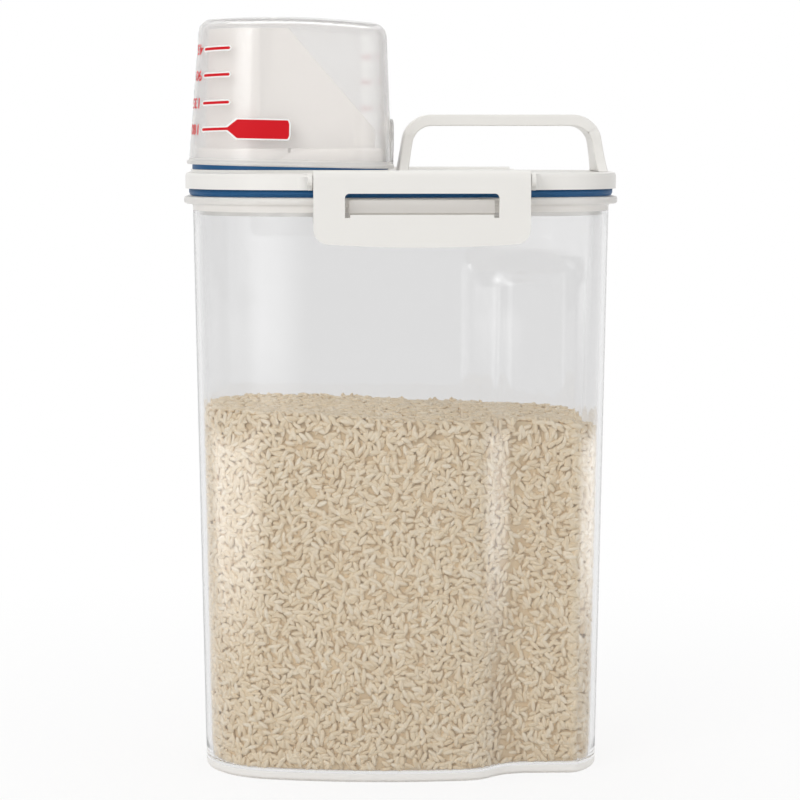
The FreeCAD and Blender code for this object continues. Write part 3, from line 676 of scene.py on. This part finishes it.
# The measuring cup is a thin clear moulding that stands mouth down over the spout, a little
# askew on its seal. Its walls taper to a rounded edge and a low domed end, and a thumb tab stands out.
CUP_X, CUP_HALF, CUP_H, MOUTH_Z, CUP_TAPER, CUP_TILT = -42.05, 38.25, 56.15, 230.7, 3.3, 1.2
CUP_WALL, CUP_EDGE_R, DOME_R = 1.6, 4.2, 310.0
OUTER_CORNER, INNER_CORNER, LIP_TOP = 28.0, 15.0, 2.4
OUTER_COUNT, INNER_COUNT, SIDE_COUNT, END_COUNT = 20, 14, 8, 6
TAB_HALF, TAB_FOOT, TAB_TOP, TAB_PROUD = 12.0, 1.2, 18.5, 0.9


def cup_plan(inset):
    """Rounded square: straight sides between corner circles, the large ones away from the handle."""
    half, outer, inner = CUP_HALF - inset, OUTER_CORNER - inset, INNER_CORNER - inset
    right, left, q = CUP_X + half, CUP_X - half, math.pi / 2
    return np.concatenate([
        run_points((right, inner - half), (right, half - inner), SIDE_COUNT),
        arc_points((right - inner, half - inner), inner, 0, q, INNER_COUNT),
        run_points((right - inner, half), (left + outer, half), SIDE_COUNT),
        arc_points((left + outer, half - outer), outer, q, 2 * q, OUTER_COUNT),
        run_points((left, half - outer), (left, outer - half), END_COUNT),
        arc_points((left + outer, outer - half), outer, 2 * q, 3 * q, OUTER_COUNT),
        run_points((left + outer, -half), (right - inner, -half), SIDE_COUNT),
        arc_points((right - inner, inner - half), inner, 3 * q, 4 * q, INNER_COUNT),
    ])


def taper(height):
    """Draw-in of the cup's wall: the whole taper times the height over the mouth, over the cup's height."""
    return CUP_TAPER * height / CUP_H


def stood(x, y, height):
    """Place of a cup point from plan x and y and its height, turned by the tilt about the mouth's middle."""
    a = math.radians(CUP_TILT)
    across = x - CUP_X
    z = MOUTH_Z - across * math.sin(a) + height * math.cos(a)
    return np.stack([CUP_X + across * math.cos(a) + height * math.sin(a), y + 0 * z, z], -1)


def cup_ring(height, inset):
    """Level ring of the cup at a height over its mouth."""
    plan = cup_plan(inset)
    return stood(plan[:, 0], plan[:, 1], height)


def dome_drop(plan):
    """Fall of the domed end at a plan point: half its squared distance from the middle over the radius."""
    return ((plan[:, 0] - CUP_X) ** 2 + plan[:, 1] ** 2) / (2 * DOME_R)


def closed_end(apex, offset, edge_r):
    """Rings of one skin up the tapered wall, round its edge and over the dome, which is apex high.

    The edge is a quarter circle of radius edge_r, set down by the dome's fall at each point of the plan.
    """
    edge_inset = taper(apex - edge_r) + offset
    found = []
    for share in np.linspace(0, 1, 13):
        plan = cup_plan(edge_inset)
        top = apex - dome_drop(plan) - edge_r
        height = LIP_TOP + (top - LIP_TOP) * share
        plan = cup_plan(offset) + (plan - cup_plan(offset)) * (height / (apex - edge_r))[:, None]
        found.append(stood(plan[:, 0], plan[:, 1], height))
    for turn in np.radians(np.linspace(0, 90, 10))[1:]:
        plan = cup_plan(edge_inset + edge_r * (1 - math.cos(turn)))
        height = apex - dome_drop(plan) - edge_r * (1 - math.sin(turn))
        found.append(stood(plan[:, 0], plan[:, 1], height))
    for share in np.linspace(1, 0.06, 11)[1:]:
        inward = (plan - [CUP_X, 0]) * share + [CUP_X, 0]
        found.append(stood(inward[:, 0], inward[:, 1], apex - dome_drop(inward)))
    return found


cup_clear = clear_plastic("cup_clear", (0.905, 0.898, 0.893), 0.13, haze=0.18)
# The cup's lip, from the mouth up its outside: height over the mouth and how far each ring draws in.
lip_profile = [
    (0, CUP_WALL), (0, -0.3), (0.15, -0.65), (0.5, -0.8), (1.1, -0.8), (1.45, -0.65), (1.6, -0.3), (1.7, 0.1),
]
outside = [cup_ring(height, inset) for height, inset in lip_profile] + closed_end(CUP_H, 0.0, CUP_EDGE_R)
inside = closed_end(CUP_H - CUP_WALL, CUP_WALL, CUP_EDGE_R - CUP_WALL)
points, faces = stacked(outside, caps=(False, True))
inner_points, inner_faces = stacked(inside, start=len(points), caps=(False, True))
around = len(outside[0])
join = [[k, len(points) + k, len(points) + (k + 1) % around, (k + 1) % around] for k in range(around)]
faces = faces + [face[::-1] for face in inner_faces] + join
kinds = np.zeros(len(faces))
kinds[:len(lip_profile) * around] = 1
points = np.concatenate([points, inner_points])
cup = mesh_piece("cup_walls", points, faces, [cup_clear, rim_frost], "cup", kinds)
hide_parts("measuring_cup")

arch = np.concatenate([
    run_points((-TAB_HALF, TAB_FOOT), (TAB_HALF, TAB_FOOT), 12),
    arc_points((0, TAB_TOP - TAB_HALF), TAB_HALF, 0, math.pi, 24),
    run_points((-TAB_HALF, TAB_TOP - TAB_HALF), (-TAB_HALF, TAB_FOOT), 4),
])
tab_middle = np.array([0, TAB_TOP / 2])
rings = []
for proud, inset in ((-1.0, 0.0), (TAB_PROUD - 0.45, 0.0), (TAB_PROUD - 0.12, 0.15), (TAB_PROUD, 0.5)):
    outline = tab_middle + (arch - tab_middle) * (1 - inset / TAB_HALF)
    rings.append(stood(CUP_X + CUP_HALF + proud, outline[:, 0], outline[:, 1]))
points, faces = stacked(rings, caps=(True, True))
tab = mesh_piece("thumb_tab", points, faces, [cup_clear], "cup")


# The cup's scale is printed on its corner in red over a white ground: four bars, of which the full
# one ends in a plain pointed label, and small numbers that stand upright when the cup does.
PRINT_LIFT, GROUND_LIFT, GROUND_MARGIN = 0.07, 0.035, 0.55
BAR_HALF, BAR_LEAST, LABEL_HALF, LABEL_ROUND, LABEL_BLUNT = 0.5, 0.05, 3.45, 1.0, 0.98
BAR_START, BAR_END, LABEL_END = 26.6, 12.9, -9.9
BAR_LEVELS, BAR_RISE = (13.0, 22.75, 33.0, 42.75), 0.6
POINT_START, POINT_LENGTH = 0.6, 4.0
FAR_START, FAR_END = 5.0, 12.5
NUMBER_SIZE, NUMBER_START, NUMBER_STRETCH = 5.4, 28.2, 1.25
NUMBER_WEIGHT, NUMBER_DEPTH, NUMBER_LIFT, NUMBER_SEAM = 0.08, 0.015, 0.03, 0.0001


def cup_skin(side, corner, run, height, lift):
    """Point on the skin at an arc length, called run, from the start of one side's corner circle.

    In plan it is the circle's centre plus (radius + lift) times (sin, cos) of run over radius, and
    before the start it goes straight on along the side.
    """
    inset = taper(height)
    half, radius = CUP_HALF - inset, corner - inset
    turn = np.clip(run, 0, None) / radius
    flat = np.clip(run, None, 0)
    x = half - radius + (radius + lift) * np.sin(turn) + flat
    y = half - radius + (radius + lift) * np.cos(turn)
    return stood(CUP_X - side * x, -side * y, height)


def printed(name, side, corner, run, level, half_width, lift, finish):
    """Thin closed film on the skin: at each run it reaches half_width above and below its level."""
    across = np.array([-1, -1, -0.5, 0, 0.5, 1, 1, 0])
    over = np.array([0, 1, 1, 1, 1, 1, 0, 0]) * lift
    height = level[:, None] + half_width[:, None] * across
    grid = cup_skin(side, corner, np.repeat(run[:, None], len(across), 1), height, over[None])
    points, faces = stacked(grid, caps=(True, True))
    film = mesh_piece(name, points, faces, [finish], "cup", smooth=False)


def rounded_ends(run, start, end, half):
    """Half width of a bar with round ends: sqrt(half^2 - distance past the end's centre^2), or the least."""
    past = np.maximum(np.maximum(start + half - run, run - end + half), 0)
    return np.maximum(np.sqrt(np.maximum(half ** 2 - past ** 2, 0)), BAR_LEAST)


scale_red = satin_plastic("scale_red", (0.66, 0.004, 0.012), 0.55, 0.1, coat=0.0, gloss=0.2)
scale_white = satin_plastic("scale_white", (0.93, 0.93, 0.92), 0.55, 0.1, coat=0.0, gloss=0.2)
for number, low in enumerate(BAR_LEVELS):
    for finish, grow, lift in ((scale_white, GROUND_MARGIN, GROUND_LIFT), (scale_red, 0.0, PRINT_LIFT)):
        last = LABEL_END if number == 0 else BAR_END
        run = np.linspace(last - grow, BAR_START + grow, 90 if number == 0 else 34)
        width = rounded_ends(run, last - grow, BAR_START + grow, BAR_HALF + grow)
        if number == 0:
            point = np.clip((BAR_END + POINT_START + grow - run) / POINT_LENGTH, 0, 1)
            width = width + point * (LABEL_HALF - BAR_HALF)
            corner = np.clip(LABEL_END - grow + LABEL_ROUND - run, 0, LABEL_ROUND)
            width = width - LABEL_ROUND + np.sqrt(LABEL_ROUND ** 2 - corner ** 2 * LABEL_BLUNT)
        level = low + BAR_RISE * np.clip((BAR_START - run) / (BAR_START - BAR_END), 0, 1)
        name = "bar_%d_%s" % (number, "ground" if grow else "print")
        printed(name, 1, OUTER_CORNER, run, level, width, lift, finish)
for number, low in enumerate(BAR_LEVELS):
    run = np.linspace(FAR_START, FAR_END, 24)
    level = np.full(len(run), low)
    width = rounded_ends(run, FAR_START, FAR_END, BAR_HALF)
    printed("far_bar_%d" % number, -1, INNER_CORNER, run, level, width, PRINT_LIFT, scale_red)

for words, low in zip(("180", "135", "90", "45"), BAR_LEVELS):
    curve = bpy.data.curves.new("number_" + words, "FONT")
    curve.body = words
    curve.size = NUMBER_SIZE
    curve.extrude = NUMBER_DEPTH
    curve.offset = NUMBER_WEIGHT
    curve.resolution_u = 3
    holder = bpy.data.objects.new("number_" + words, curve)
    bpy.context.scene.collection.objects.link(holder)
    flat = bpy.data.meshes.new_from_object(holder)
    bpy.data.objects.remove(holder)
    work = bmesh.new()
    work.from_mesh(flat)
    bmesh.ops.remove_doubles(work, verts=work.verts, dist=NUMBER_SEAM)
    work.to_mesh(flat)
    work.free()
    spots = np.zeros(len(flat.vertices) * 3)
    flat.vertices.foreach_get("co", spots)
    spots = spots.reshape(-1, 3)
    middle = (spots[:, 1].min() + spots[:, 1].max()) / 2
    run, height = NUMBER_START + spots[:, 0] * NUMBER_STRETCH, low + middle - spots[:, 1]
    points = cup_skin(1, OUTER_CORNER, run, height, spots[:, 2] + NUMBER_LIFT)
    faces = [list(face.vertices) for face in flat.polygons]
    digits = mesh_piece("number_" + words, points, faces, [scale_red], "cup", smooth=False)


sizes = {"cad": cad_box, "visual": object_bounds()}
sizes = {name: [list(map(float, corner)) for corner in box] for name, box in sizes.items()}
